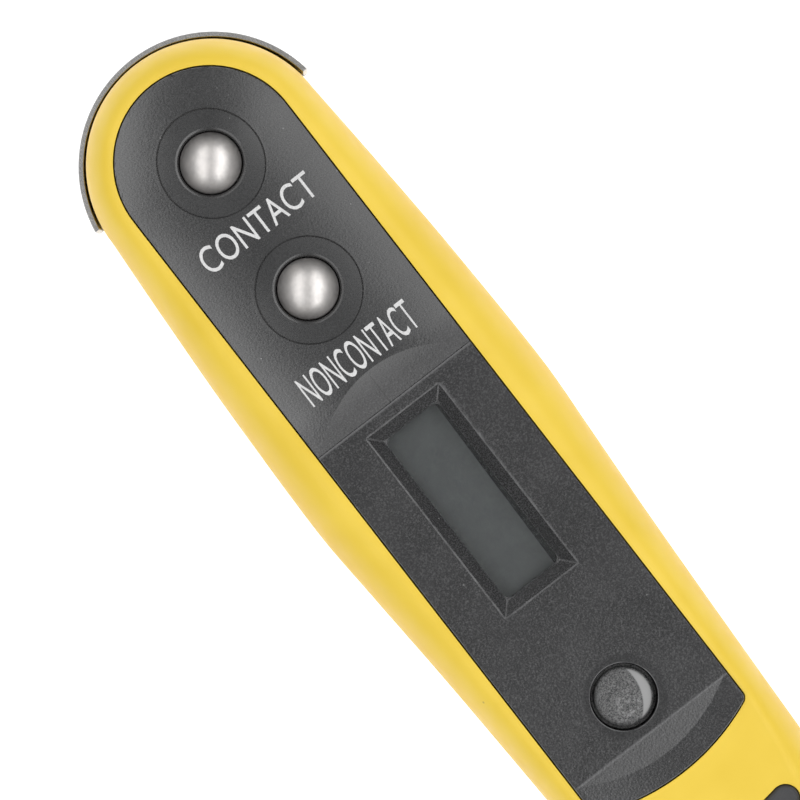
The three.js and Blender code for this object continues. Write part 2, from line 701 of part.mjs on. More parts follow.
function addScrews() {
  const heads = { upper: clipPlateZ[0] - 1, lower: 3.1 };
  Object.entries(heads).forEach(([name, headZ], i) => {
    const length = 11.2 - headZ;
    const profile = [[0, 0], [1.5, 0], [1.9, 0.35], [1.9, 0.95], [0.8, 0.95], [0.8, length], [0, length]];
    const blank = new THREE.LatheGeometry(profile.map(([r, z]) => new THREE.Vector2(r, z)), 16);
    const slot = (x, y) => asSolid(new THREE.BoxGeometry(x, y, 1.1));
    const screw = asSolid(blank.rotateX(Math.PI / 2)).subtract(slot(2.2, 0.4)).subtract(slot(0.4, 2.2));
    addPiece(`${name}_screw`, screw, finishes.steel).position.set(0, yAt(screwPlaces[i]), headZ);
  });
}

addFrontShell();
addRearShell();
addGripRibs(front, 'front');
addGripRibs(rear, 'rear');
addNoseCollar();
addFacePanel();
addButtons();
addDisplay();
addLamp();
addBoard();
addBoardParts();
addProbe();
addClipCollar();
addClipArm();
addScrews();

export default part;
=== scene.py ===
import math
import bmesh
import bpy
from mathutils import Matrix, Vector


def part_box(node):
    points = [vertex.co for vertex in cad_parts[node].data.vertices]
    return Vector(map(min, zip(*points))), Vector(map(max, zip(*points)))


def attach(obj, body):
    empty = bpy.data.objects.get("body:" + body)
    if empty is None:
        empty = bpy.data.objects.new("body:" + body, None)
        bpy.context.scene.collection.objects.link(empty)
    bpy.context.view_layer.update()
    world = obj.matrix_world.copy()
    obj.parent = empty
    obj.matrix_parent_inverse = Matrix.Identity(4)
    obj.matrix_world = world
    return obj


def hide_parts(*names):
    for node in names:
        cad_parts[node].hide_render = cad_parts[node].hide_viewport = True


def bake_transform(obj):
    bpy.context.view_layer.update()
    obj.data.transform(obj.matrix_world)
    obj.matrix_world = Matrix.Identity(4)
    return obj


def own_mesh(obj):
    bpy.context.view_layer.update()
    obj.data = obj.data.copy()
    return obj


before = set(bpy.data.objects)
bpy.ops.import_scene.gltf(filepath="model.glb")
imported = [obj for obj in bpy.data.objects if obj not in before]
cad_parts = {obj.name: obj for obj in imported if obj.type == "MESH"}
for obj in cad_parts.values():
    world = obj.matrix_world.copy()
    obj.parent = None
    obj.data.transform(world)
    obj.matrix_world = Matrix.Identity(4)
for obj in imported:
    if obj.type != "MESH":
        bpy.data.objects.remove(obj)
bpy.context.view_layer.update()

mm = 0.001
shellLow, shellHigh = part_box("front_shell")
buttY = shellHigh.y / mm - 0.2    # where "along" starts, just inside the round end of the casing
partingZ = shellLow.z / mm        # the shells meet here, and the blade's axis is here
faceZ = shellHigh.z / mm          # top of the yellow rim


def place(x, along, z):
    # along is counted towards the blade, all in millimetres
    return Vector((x, buttY - along, z)) * mm


# working habits: picking, applying, cutting

def pickOnly(piece):
    if bpy.context.object and bpy.context.object.mode != "OBJECT":
        bpy.ops.object.mode_set(mode="OBJECT")
    bpy.ops.object.select_all(action="DESELECT")
    if piece:
        piece.select_set(True)
        bpy.context.view_layer.objects.active = piece


def selectIn(piece, kind, test):
    # leaves the piece in edit mode with what passes the test selected
    pickOnly(piece)
    bpy.ops.object.mode_set(mode="EDIT")
    bpy.ops.mesh.select_mode(type=kind)
    bpy.ops.mesh.select_all(action="DESELECT")
    shape = bmesh.from_edit_mesh(piece.data)
    parts = {"VERT": shape.verts, "EDGE": shape.edges, "FACE": shape.faces}[kind]
    for part in parts:
        if test(part):
            part.select_set(True)
    shape.select_flush_mode()
    bmesh.update_edit_mesh(piece.data)


def outOfEdit():
    bpy.ops.object.mode_set(mode="OBJECT")


def settle(piece):
    # the place goes into the mesh
    pickOnly(piece)
    bpy.ops.object.transform_apply(location=True, rotation=True, scale=True)


def applied(piece, kind, **settings):
    pickOnly(piece)
    modifier = piece.modifiers.new(kind.title(), kind)
    for key, value in settings.items():
        setattr(modifier, key, value)
    bpy.ops.object.modifier_apply(modifier=modifier.name)


def cut(piece, cutter, operation="DIFFERENCE"):
    applied(piece, "BOOLEAN", operation=operation, object=cutter, solver="MANIFOLD")
    bpy.data.objects.remove(cutter)


def clean(piece, gap=0.00001):
    selectIn(piece, "VERT", lambda vert: True)
    bpy.ops.mesh.remove_doubles(threshold=gap)
    bpy.ops.mesh.normals_make_consistent(inside=False)
    outOfEdit()


def softEdges(piece, width, angle=35, segments=2):
    applied(piece, "BEVEL", width=width * mm, segments=segments, limit_method="ANGLE",
            angle_limit=math.radians(angle), use_clamp_overlap=False, miter_outer="MITER_ARC")


def highlightedEdges(piece, width, angle):
    # soft edges whose strips are marked for the material's painted highlight lines
    for _ in range(2):
        piece.data.materials.append(None)
    applied(piece, "BEVEL", width=width * mm, segments=2, limit_method="ANGLE", material=1,
            angle_limit=math.radians(angle), use_clamp_overlap=False, miter_outer="MITER_ARC")
    wearAndEdgeHighlight = piece.data.attributes.new("edgeHighlight", "FLOAT", "FACE")
    for face in piece.data.polygons:
        wearAndEdgeHighlight.data[face.index].value = face.material_index
        face.material_index = 0


def smooth(piece, angle=30):
    pickOnly(piece)
    bpy.ops.object.shade_smooth_by_angle(angle=math.radians(angle))


def finishPiece(piece, name, body, material, nodes=()):
    settle(piece)
    piece.name = name
    piece.data.name = name
    piece.data.materials.clear()
    piece.data.materials.append(material)
    if nodes:
        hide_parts(*nodes)
    if body:
        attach(piece, body)
    return piece


def curveThrough(points):
    # a smooth curve through (place, value) pairs that never overshoots them
    last = len(points) - 1

    def rise(i):
        return (points[i + 1][1] - points[i][1]) / (points[i + 1][0] - points[i][0])

    def slopeAt(i):
        if i == 0 or i == last:
            return rise(min(i, last - 1))
        before, after = rise(i - 1), rise(i)
        return 0 if before * after <= 0 else 2 * before * after / (before + after)

    slopes = [slopeAt(i) for i in range(last + 1)]

    def value(where):
        x = min(max(where, points[0][0]), points[last][0])
        i = 0
        while i < last - 1 and x > points[i + 1][0]:
            i += 1
        width = points[i + 1][0] - points[i][0]
        t = (x - points[i][0]) / width
        share = t * t * (3 - 2 * t)
        bend = slopes[i] * t * (1 - t) ** 2 * width - slopes[i + 1] * t * t * (1 - t) * width
        return points[i][1] * (1 - share) + points[i + 1][1] * share + bend

    return value


def shapedGrid(columns, rows, placeOf):
    # a grid whose points are set by placeOf(share across, share along)
    pickOnly(None)
    bpy.ops.mesh.primitive_grid_add(x_subdivisions=columns, y_subdivisions=rows, size=2)
    piece = bpy.context.object
    for vert in piece.data.vertices:
        vert.co = placeOf((vert.co.x + 1) / 2, (vert.co.y + 1) / 2)
    return piece


def turned(profile, centre, sides=96, along=False):
    # a turned piece through (radius, height) pairs, standing up or lying along the pen
    last = len(profile) - 1

    def placeOf(across, travel):
        radius, height = profile[round(across * last)]
        turn = travel * 2 * math.pi
        x, y = radius * math.cos(turn), radius * math.sin(turn)
        offset = Vector((x, -height, y)) if along else Vector((x, y, height))
        return centre + offset * mm

    piece = shapedGrid(last, sides, placeOf)
    clean(piece, 0.000002)
    return piece


def post(radius, centre, depth, vertices=64):
    pickOnly(None)
    bpy.ops.mesh.primitive_cylinder_add(vertices=vertices, radius=radius * mm, depth=depth * mm,
                                        location=centre)
    piece = bpy.context.object
    settle(piece)
    return piece


def block(low, high):
    pickOnly(None)
    bpy.ops.mesh.primitive_cube_add(size=1, location=(low + high) / 2)
    piece = bpy.context.object
    piece.scale = [abs(value) for value in high - low]
    settle(piece)
    return piece


def arc(radius, fromAngle, toAngle, steps, centre=(0, 0)):
    # (radius, height) pairs on a round stretch, angles in degrees from the horizontal
    pairs = []
    for i in range(steps + 1):
        angle = math.radians(fromAngle + (toAngle - fromAngle) * i / steps)
        pairs.append((centre[0] + radius * math.cos(angle), centre[1] + radius * math.sin(angle)))
    return pairs


# building materials

class Finish:
    # a material and the short ways to its nodes, sizes in millimetres
    def __init__(self, name):
        self.material = bpy.data.materials.new(name)
        self.material.use_nodes = True
        self.nodes = self.material.node_tree.nodes
        self.links = self.material.node_tree.links
        self.shader = self.nodes["Principled BSDF"]
        self.where = self.nodes.new("ShaderNodeTexCoord").outputs["Object"]

    def stretched(self, x, y, z):
        node = self.nodes.new("ShaderNodeMapping")
        node.inputs["Scale"].default_value = (x, y, z)
        self.links.new(self.where, node.inputs["Vector"])
        return node.outputs["Vector"]

    def noise(self, size, detail=3, roughness=0.55, where=None):
        node = self.nodes.new("ShaderNodeTexNoise")
        node.inputs["Scale"].default_value = 1 / (size * mm)
        node.inputs["Detail"].default_value = detail
        node.inputs["Roughness"].default_value = roughness
        self.links.new(where or self.where, node.inputs["Vector"])
        return node.outputs["Fac"]

    def cells(self, size, where=None):
        node = self.nodes.new("ShaderNodeTexVoronoi")
        node.inputs["Scale"].default_value = 1 / (size * mm)
        self.links.new(where or self.where, node.inputs["Vector"])
        return node.outputs["Distance"]

    def spread(self, value, low, high, fromLow=0.0, fromHigh=1.0):
        node = self.nodes.new("ShaderNodeMapRange")
        node.inputs["From Min"].default_value = fromLow
        node.inputs["From Max"].default_value = fromHigh
        node.inputs["To Min"].default_value = low
        node.inputs["To Max"].default_value = high
        self.links.new(value, node.inputs["Value"])
        return node.outputs["Result"]

    def sums(self, kind, first, second):
        node = self.nodes.new("ShaderNodeMath")
        node.operation = kind
        for socket, value in zip(node.inputs, (first, second)):
            if isinstance(value, (int, float)):
                socket.default_value = value
            else:
                self.links.new(value, socket)
        return node.outputs[0]

    def away(self, x, along):
        # millimetres from an upright line
        node = self.nodes.new("ShaderNodeVectorMath")
        node.operation = "DISTANCE"
        self.links.new(self.stretched(1, 1, 0), node.inputs[0])
        node.inputs[1].default_value = (x * mm, place(0, along, 0).y, 0)
        return self.sums("MULTIPLY", node.outputs["Value"], 1 / mm)

    def mark(self, name):
        node = self.nodes.new("ShaderNodeAttribute")
        node.attribute_name = name
        return node.outputs["Fac"]

    def part(self, axis):
        # one axis of the place on the piece, in millimetres
        node = self.nodes.new("ShaderNodeSeparateXYZ")
        self.links.new(self.where, node.inputs[0])
        return self.sums("MULTIPLY", node.outputs[axis], 1 / mm)

    def mixed(self, share, first, second):
        node = self.nodes.new("ShaderNodeMix")
        node.data_type = "RGBA"
        self.links.new(share, node.inputs[0])
        for socket, colour in zip((node.inputs[6], node.inputs[7]), (first, second)):
            if isinstance(colour, tuple):
                socket.default_value = (*colour, 1)
            else:
                self.links.new(colour, socket)
        return node.outputs[2]

    def use(self, socket, value):
        if isinstance(value, (int, float, tuple)):
            self.shader.inputs[socket].default_value = value
        else:
            self.links.new(value, self.shader.inputs[socket])

    def bump(self, height, depth, strength=1.0):
        node = self.nodes.new("ShaderNodeBump")
        node.inputs["Strength"].default_value = strength
        node.inputs["Distance"].default_value = depth * mm
        self.links.new(height, node.inputs["Height"])
        self.use("Normal", node.outputs["Normal"])


def yellowPlastic():
    finish = Finish("yellowPlastic")
    cloud = finish.spread(finish.noise(8, 2), 0, 1, 0.35, 0.65)
    face = finish.mixed(cloud, (0.72, 0.505, 0.042), (0.77, 0.55, 0.058))
    # painted shade: darker and more orange lower down the flanks, where the light grazes them
    low = finish.spread(finish.part("Z"), 1, 0, 9.5, 13.2)
    colour = finish.mixed(finish.sums("MULTIPLY", low, 0.5), face, (0.74, 0.42, 0.045))
    marks = finish.spread(finish.cells(5.2), 1, 0, 0.014, 0.027)
    marks = finish.sums("MULTIPLY", marks, 0.5)
    finish.use("Base Color", finish.mixed(marks, colour, (0.25, 0.16, 0.05)))
    ripple = finish.noise(1.6, 2)
    finish.use("Roughness", finish.spread(ripple, 0.42, 0.55, 0.3, 0.7))
    grain = finish.sums("ADD", finish.noise(0.11, 2), finish.sums("MULTIPLY", ripple, 1.5))
    finish.bump(grain, 0.008, 0.45)
    finish.shader.inputs["Specular IOR Level"].default_value = 0.4
    return finish.material


def sparkedPlastic(name, grainSize, depth):
    # moulded black with an eroded grain, weaker in the trough and left out round the buttons and the lamp;
    # the glints on the grain and the light lines on edges and crests are painted highlight
    finish = Finish(name)
    low, high = panel["grainFadeAt"]
    fine = finish.noise(grainSize, 3, 0.6)
    pits = finish.cells(grainSize * 1.7)
    height = finish.sums("ADD", fine, finish.sums("MULTIPLY", pits, 0.9))
    plateau = finish.spread(finish.part("Y"), 1, 0, buttY - high, buttY - low)
    share = finish.spread(plateau, 0.35, 1)
    spots = [(along, *panel["smoothByButton"]) for along in panel["buttonPlaces"]]
    spots.append((panel["lampAt"], *panel["smoothByLamp"]))
    for along, least, clear in spots:
        around = finish.spread(finish.away(0, along), least, 1, clear, clear + 0.3)
        share = finish.sums("MULTIPLY", share, around)
    cloud = finish.spread(finish.noise(5, 3), 0, 1, 0.35, 0.65)
    colour = finish.mixed(cloud, (0.016, 0.0162, 0.017), (0.024, 0.0242, 0.025))
    # painted glints: sparse bright specks on the grain
    paintedGlint = finish.spread(finish.cells(1.9), 1, 0, 0.018, 0.035)
    colour = finish.mixed(finish.sums("MULTIPLY", paintedGlint, 0.6), colour, (0.35, 0.35, 0.35))
    # painted sparkle: the grain's raised points painted lighter
    paintedGrainSparkle = finish.sums("MULTIPLY", finish.spread(fine, 0, 1, 0.54, 0.68), share)
    colour = finish.mixed(finish.sums("MULTIPLY", paintedGrainSparkle, 0.6), colour, (0.105, 0.105, 0.107))
    x, along, reach = panel["mouldLine"]
    mouldLine = finish.sums("ABSOLUTE", finish.sums("SUBTRACT", finish.part("X"), x), 0)
    mouldLine = finish.sums("MULTIPLY", finish.spread(mouldLine, 1, 0, 0.02, 0.07),
                            finish.spread(finish.away(x, along), 1, 0, reach, reach + 0.3))
    colour = finish.mixed(mouldLine, colour, (0.004, 0.004, 0.004))
    # painted highlight: light lines on the marked edge strips, patchy with noise
    wearAndEdgeHighlight = finish.spread(finish.noise(0.9, 3), 0.1, 1, 0.35, 0.7)
    wearAndEdgeHighlight = finish.sums("MULTIPLY", finish.mark("edgeHighlight"), wearAndEdgeHighlight)
    # painted highlight: light lines along the crests of the two slopes
    for along in (panel["troughEndAt"], panel["lowerSlopeAt"]):
        crest = finish.sums("ABSOLUTE", finish.sums("SUBTRACT", finish.part("Y"), buttY - along), 0)
        wearAndEdgeHighlight = finish.sums("MAXIMUM", wearAndEdgeHighlight, finish.spread(crest, 0.9, 0, 0.03, 0.14))
    finish.use("Base Color", finish.mixed(wearAndEdgeHighlight, colour, (0.085, 0.085, 0.087)))
    finish.use("Roughness", finish.spread(fine, 0.21, 0.34, 0.3, 0.7))
    finish.use("Specular IOR Level", finish.spread(plateau, 0.9, 0.65))
    finish.bump(finish.sums("MULTIPLY", height, share), depth, 1.0)
    return finish.material


def brushedMetal(name, colour, roughness=0.28, streak=(1, 1, 1), scratch=0.12, depth=0.004, tint=None):
    finish = Finish(name)
    across = finish.stretched(*streak)
    fine = finish.noise(scratch, 4, 0.65, across)
    cloud = finish.noise(1.1, 3)
    wearAndEdgeHighlight = tint or tuple(value * 0.72 for value in colour)
    finish.use("Base Color", finish.mixed(finish.spread(cloud, 0, 0.6, 0.4, 0.75), colour, wearAndEdgeHighlight))
    finish.use("Metallic", 1.0)
    finish.use("Roughness", finish.spread(fine, roughness - 0.06, roughness + 0.1, 0.3, 0.7))
    finish.bump(fine, depth, 0.6)
    return finish.material


def plainPlastic(name, first, second, roughness=0.5, grain=0.15, depth=0.01):
    finish = Finish(name)
    cloud = finish.spread(finish.noise(2.5, 3), 0, 1, 0.35, 0.65)
    finish.use("Base Color", finish.mixed(cloud, first, second))
    fine = finish.noise(grain, 3)
    finish.use("Roughness", finish.spread(fine, roughness - 0.06, roughness + 0.06, 0.3, 0.7))
    finish.bump(fine, depth, 0.6)
    return finish.material


def clearPlastic(name, tint, roughness, grain, depth):
    # clear, with a little dust on it
    finish = Finish(name)
    fine = finish.noise(grain, 3)
    cloud = finish.spread(finish.noise(1.3, 2), 0, 1, 0.35, 0.65)
    deeper = tuple(value * 0.93 for value in tint)
    colour = finish.mixed(cloud, tint, deeper)
    specks = finish.spread(finish.cells(1.1), 1, 0, 0.03, 0.06)
    finish.use("Base Color", finish.mixed(specks, colour, (0.9, 0.9, 0.9)))
    finish.use("Roughness", finish.spread(fine, roughness, roughness + 0.08, 0.3, 0.7))
    finish.use("Transmission Weight", 1.0)
    finish.use("IOR", 1.49)
    finish.bump(fine, depth, 0.5)
    return finish.material


yellowCasing = yellowPlastic()
gripRubber = plainPlastic("gripRubber", (0.028, 0.028, 0.03), (0.038, 0.038, 0.04), 0.6, 0.2, 0.02)
print("first materials done")


# casing: two shells lofted over the same plan

casing = {
    "buttCentre": 10.3,
    "noseEnd": 104,
    "wall": 1.5,
    "edge": 0.1,             # rounding along the parting line
    "halfWidth": curveThrough([(10.3, 10.5), (18, 10.98), (28, 11.47), (39.6, 11.73), (46.8, 11.37),
                               (55, 10.88), (63, 10.51), (71, 10.18), (80, 9.8), (88, 9.07),
                               (96, 7.42), (104, 5.5)]),
}
frontSide = {
    "up": 1,
    "edgeZ": curveThrough([(0, faceZ), (64, faceZ), (76, 13.6), (104, 13)]),
    "flat": curveThrough([(0, 7.9), (70, 7.9), (80, 6.6), (90, 3.8), (97, 1.4), (104, 0)]),
    "flank": curveThrough([(0, 0.8), (70, 0.8), (104, 0)]),
}
rearSide = {
    "up": -1,
    "edgeZ": curveThrough([(0, 3.2), (54, 3.2), (72, 0.3), (92, 0.3), (104, 2)]),
    "flat": curveThrough([(0, 8.9), (14, 8.9), (40, 7.8), (70, 6.2), (86, 4.8), (97, 1.4), (104, 0)]),
    "flank": curveThrough([(0, 2.9), (14, 2.9), (40, 1), (70, 0.6), (104, 0)]),
}


def sectionAt(side, along):
    rim = casing["halfWidth"](along)
    flat = min(side["flat"](along), rim - 0.2)
    flank = side["flank"](along)
    height = abs(side["edgeZ"](along) - partingZ) - flank
    return rim, flat, flank, height


def skinPlace(side, across, travel):
    # up the flank, round the shoulder, then over to the middle line, all the way round the butt
    sideShare, flankShare, shoulderShare = 0.375, 2 / 32, 24 / 32
    centre = casing["buttCentre"]
    run = casing["noseEnd"] - centre
    if travel < sideShare:
        turn, along = -math.pi / 2, casing["noseEnd"] - travel / sideShare * run
    elif travel <= 1 - sideShare:
        turn, along = ((travel - sideShare) / (1 - 2 * sideShare) - 0.5) * math.pi, centre
    else:
        turn, along = math.pi / 2, centre + (travel - 1 + sideShare) / sideShare * run
    rim, flat, flank, height = sectionAt(side, along)
    if across < flankShare:
        radius, z = rim, flank * across / flankShare
    elif across < shoulderShare:
        angle = (across - flankShare) / (shoulderShare - flankShare) * math.pi / 2
        radius, z = flat + (rim - flat) * math.cos(angle), flank + height * math.sin(angle)
    else:
        radius, z = flat * (1 - across) / (1 - shoulderShare), flank + height
    return place(radius * math.sin(turn), along - radius * math.cos(turn), partingZ + side["up"] * z)


def skinHeight(side, along, x):
    rim, flat, flank, height = sectionAt(side, along)
    out = min(max((abs(x) - flat) / (rim - flat), 0), 1)
    return flank + height * math.sqrt(1 - out * out)


grip = {
    "ribs": [(79.9, 6.5), (84.9, 5.9), (89.7, 4.9), (94.3, 3.9)],   # place and half length
    "half": 1.15,
    "bow": 33,
    "proud": 0.3,
    "deep": 1.0,
    "edge": 0.42,
    "gap": 0.08,
    "groove": (2.5, 3.6, 0.001),   # height over the skin, depth and edge of what cuts each groove
}


def ribSolid(side, at, reach, margin, proud, deep, edge):
    # a bowed bar with round ends that follows the casing's skin
    half = grip["half"] + margin
    core = reach - grip["half"]
    bow = grip["bow"]
    centreAlong = at - math.sqrt(bow * bow - reach * reach)

    def spot(p, q, height):
        x = (bow + q) * math.sin(p / bow)
        along = centreAlong + (bow + q) * math.cos(p / bow)
        return place(x, along, partingZ + side["up"] * (skinHeight(side, along, x) + height))

    def placeOf(across, travel):
        p = (core + half) * math.sin((travel * 2 - 1) * math.pi / 2)
        over = max(abs(p) - core, 0)
        room = math.sqrt(max(half * half - over * over, 0))
        q = room * math.sin((across * 2 - 1) * math.pi / 2)
        inside = half - math.hypot(over, q)
        fall = edge - math.sqrt(max(edge * edge - (edge - inside) ** 2, 0)) if inside < edge else 0
        return spot(p, q, proud - fall)

    solid = shapedGrid(16, 72, placeOf)
    selectIn(solid, "FACE", lambda face: True)
    bpy.ops.mesh.extrude_region_move(TRANSFORM_OT_translate={"value": (0, 0, -side["up"] * deep * mm)})
    outOfEdit()
    clean(solid, 0.000003)
    return solid


def makeShell(side, name, node, opening=None):
    shell = shapedGrid(32, 240, lambda across, travel: skinPlace(side, across, travel))
    clean(shell)
    applied(shell, "SOLIDIFY", thickness=casing["wall"] * mm, offset=-1, use_even_offset=True)
    softEdges(shell, casing["edge"], 60)
    if opening:
        cut(shell, opening)
    for at, reach in grip["ribs"]:
        cut(shell, ribSolid(side, at, reach, grip["gap"], *grip["groove"]))
    smooth(shell, 35)
    return finishPiece(shell, name, "housing", yellowCasing, [node])


panel = {
    "half": 7.82,
    "cornerAt": 71.5,
    "endAt": 73.2,
    "corner": 0.35,
    "gap": 0.12,
    "backZ": 11.9,
    "topZ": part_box("face_panel")[1].z / mm,
    "troughRadius": 30.9,
    "troughDepth": 1.03,
    "troughEndAt": 34.9,
    "slopeUp": 0.3125,
    "lowerSlopeAt": 69.0,
    "slopeDown": 0.196,
    "lowerHollowRadius": 65,
    "lowerHollowDrop": 0.43,
    "dishHalf": (4.12, 4.38),   # at its floor
    "dishWall": 0.67,        # how much the dish widens per millimetre up
    "dishDrop": 0.18,
    "dishCutter": (13.5, 4),    # middle and height of what cuts it
    "buttonPlaces": (10.3, 23.3),
    "holeRadius": 2.6,
    "holeLip": [(2.58, -1), (2.61, -0.3), (2.66, -0.17), (2.76, -0.07), (2.93, 0.01), (2.93, 1)],
    "lampAt": 65.4,
    "lampHoleRadius": 2.78,
    "screwPlaces": (16.8, 59.4),
    "boss": {"radius": 1.8, "hole": 0.9, "z": 10.5, "high": 3.2},
    "ridge": 0.08,           # rounding of its moulded edges
    "grainFadeAt": (31.5, 33.5),
    "smoothByButton": (0.12, 4.4),   # what is left of the grain, and out to which radius
    "smoothByLamp": (0.3, 3.3),
    "mouldLine": (-0.35, 34.2, 2),   # x, middle and half length
}


def panelBlank(margin, low, high):
    # the face panel's plan as an upright solid: round at the butt, a shallow arc at the other end
    half = panel["half"] + margin
    corner = panel["corner"] + margin
    sag = panel["endAt"] - panel["cornerAt"]
    bottomRadius = (panel["half"] ** 2 + sag ** 2) / (2 * sag) + margin
    centreY = buttY - casing["buttCentre"]
    blank = post(half, place(0, casing["buttCentre"], (low + high) / 2), high - low, 192)
    for vert in blank.data.vertices:
        x, y = vert.co.x / mm, vert.co.y / mm
        if y < centreY - 0.001:
            drop = bottomRadius - math.sqrt(bottomRadius ** 2 - x * x)
            over = min(max(abs(x) - half + corner, 0), corner)
            turnUp = corner - math.sqrt(corner * corner - over * over)
            vert.co.y = (buttY - panel["endAt"] - margin + drop + turnUp) * mm
    return blank


makeShell(frontSide, "frontCasing", "front_shell", panelBlank(panel["gap"], 9, faceZ + 3))
makeShell(rearSide, "rearCasing", "rear_shell")
for label, side in (("front", frontSide), ("rear", rearSide)):
    for i, (at, reach) in enumerate(grip["ribs"]):
        rib = ribSolid(side, at, reach, 0, grip["proud"], grip["deep"] + grip["proud"], grip["edge"])
        smooth(rib, 50)
        finishPiece(rib, f"{label}GripRib{i + 1}", "housing", gripRubber,
                    [f"{label}_grip_rib_{i + 1}"])
print("casing and grip done")


# face panel

def troughFloor(x, along, drop=0.0):
    # a round trough that ends as a ball's hollow towards the butt
    radius = panel["troughRadius"]
    back = min(0, along - casing["buttCentre"])
    low = panel["topZ"] - panel["troughDepth"] - drop
    return low + radius - math.sqrt(radius * radius - x * x - back * back)


def hollowOver(floorAt, start, end, columns, rows, half=8.4):
    # a solid that stands over a curved floor
    topZ = panel["topZ"] + 6

    def placeOf(across, travel):
        x = (across * 2 - 1) * half
        along = start + (end - start) * travel
        return place(x, along, floorAt(x, along))

    solid = shapedGrid(columns, rows, placeOf)
    selectIn(solid, "FACE", lambda face: True)
    bpy.ops.mesh.extrude_region_move(TRANSFORM_OT_translate={"value": (0, 0, 10 * mm)})
    bpy.ops.transform.resize(value=(1, 1, 0), center_override=place(0, 0, topZ))
    outOfEdit()
    clean(solid)
    return solid


def keepAbove(solid, meetAt, slope):
    # takes away what lies under a slope through the flat top's edge, rising towards the blade
    reach = 36
    wedge = block(place(-9.5, meetAt + reach, -12), place(9.5, meetAt - reach, panel["topZ"]))
    for way in (-1, 1):
        selectIn(wedge, "VERT", lambda vert: vert.co.z > 0 and way * (vert.co.y - place(0, meetAt, 0).y) < 0)
        bpy.ops.transform.translate(value=(0, 0, way * slope * reach * mm))
        outOfEdit()
    cut(solid, wedge)


display = {
    "at": 45.2,
    "bezelHalf": (3.75, 9.3),
    "windowHalf": (2.72, 8.2),
    "lipZ": (12.6, 13.2),
    "paneHalf": (3.4, 8.9),
    "paneZ": (12, 12.55),
    "corner": 0.6,
}


def cutTrough(plate):
    floor = hollowOver(troughFloor, 1.5, 38, 56, 120)
    keepAbove(floor, panel["troughEndAt"], panel["slopeUp"])
    cut(plate, floor)
    low = panel["topZ"] - panel["lowerHollowDrop"]
    radius = panel["lowerHollowRadius"]
    lower = hollowOver(lambda x, along: low + x * x / (2 * radius), 67, 76, 84, 4)
    keepAbove(lower, panel["lowerSlopeAt"], -panel["slopeDown"])
    cut(plate, lower)


def cutButtonSeats(plate):
    middleZ, high = panel["dishCutter"]
    floorZ = panel["topZ"] - panel["troughDepth"] - panel["dishDrop"]
    for along in panel["buttonPlaces"]:
        middle = place(0, along + 0.15, middleZ)
        dish = post(1, middle, high, 96)
        for way in (-1, 1):
            grow = (middleZ + way * high / 2 - floorZ) * panel["dishWall"]
            selectIn(dish, "VERT", lambda vert: way * (vert.co.z - middle.z) > 0)
            bpy.ops.transform.resize(value=(*[half + grow for half in panel["dishHalf"]], 1),
                                     center_override=middle)
            outOfEdit()
        sunk = hollowOver(lambda x, spot: troughFloor(x, spot, panel["dishDrop"]),
                          along - 5, along + 5.4, 46, 26)
        cut(dish, sunk, "INTERSECT")
        cut(plate, dish)
        cut(plate, post(panel["holeRadius"], place(0, along, 13), 6, 96))
        cut(plate, turned([(0, -1)] + panel["holeLip"] + [(0, 1)], place(0, along, floorZ), 96))


def cutDisplay(plate):
    topX, topY = display["bezelHalf"]
    lowX, lowY = display["windowHalf"]
    lipLow, lipHigh = display["lipZ"]
    at = display["at"]
    bezel = block(place(-topX, at + topY, lipHigh), place(topX, at - topY, panel["topZ"]))
    selectIn(bezel, "FACE", lambda face: face.normal.z < -0.9)
    bpy.ops.transform.resize(value=(lowX / topX, lowY / topY, 1), center_override=place(0, at, lipHigh))
    outOfEdit()
    selectIn(bezel, "FACE", lambda face: face.normal.z > 0.9)
    bpy.ops.mesh.extrude_region_move(TRANSFORM_OT_translate={"value": (0, 0, 2 * mm)})
    outOfEdit()
    cut(plate, bezel)
    window = block(place(-lowX, at + lowY, panel["backZ"] - 1), place(lowX, at - lowY, panel["topZ"]))
    selectIn(window, "EDGE", lambda edge: abs((edge.verts[0].co - edge.verts[1].co).z) > mm)
    bpy.ops.mesh.bevel(offset=display["corner"] * mm, segments=8)
    outOfEdit()
    cut(plate, window)
    paneX, paneY = display["paneHalf"]
    cut(plate, block(place(-paneX - 0.05, at + paneY + 0.05, panel["backZ"] - 1),
                     place(paneX + 0.05, at - paneY - 0.05, lipLow)))


def makePanel():
    plate = panelBlank(0, panel["backZ"], panel["topZ"])
    cutTrough(plate)
    cutDisplay(plate)
    cut(plate, post(panel["lampHoleRadius"], place(0, panel["lampAt"], 13), 6, 96))
    shape = panel["boss"]
    for along in panel["screwPlaces"]:
        boss = post(shape["radius"], place(0, along, shape["z"]), shape["high"], 48)
        cut(boss, post(shape["hole"], place(0, along, shape["z"] - 1), 4, 32))
        cut(plate, boss, "UNION")
    clean(plate, 0.00001)
    # rounds the moulded edges and marks their strips for painted highlight lines
    highlightedEdges(plate, panel["ridge"], 24)
    cutButtonSeats(plate)
    smooth(plate, 8)
    return finishPiece(plate, "facePanel", "housing", sparkedBlack, ["face_panel"])


sparkedBlack = sparkedPlastic("sparkedBlack", 0.12, 0.015)
makePanel()
print("face panel done")


# printed labels

labels = {
    "upper": {"words": "CONTACT", "at": 17.7, "wide": 11.2, "high": 2.3, "middle": 0.0},
    "lower": {"words": "NONCONTACT", "at": 31.3, "wide": 11.1, "high": 2.7, "middle": 0.0},
    "lift": 0.025,
    "thick": 0.02,
}


def labelPrint():
    finish = Finish("labelPrint")
    fine = finish.noise(0.14, 3, 0.6)
    finish.use("Base Color", finish.mixed(finish.spread(fine, 0, 1, 0.3, 0.75),
                                          (0.66, 0.66, 0.66), (0.50, 0.50, 0.50)))
    finish.use("Roughness", finish.spread(fine, 0.5, 0.7, 0.3, 0.7))
    finish.bump(fine, 0.01, 0.6)
    return finish.material


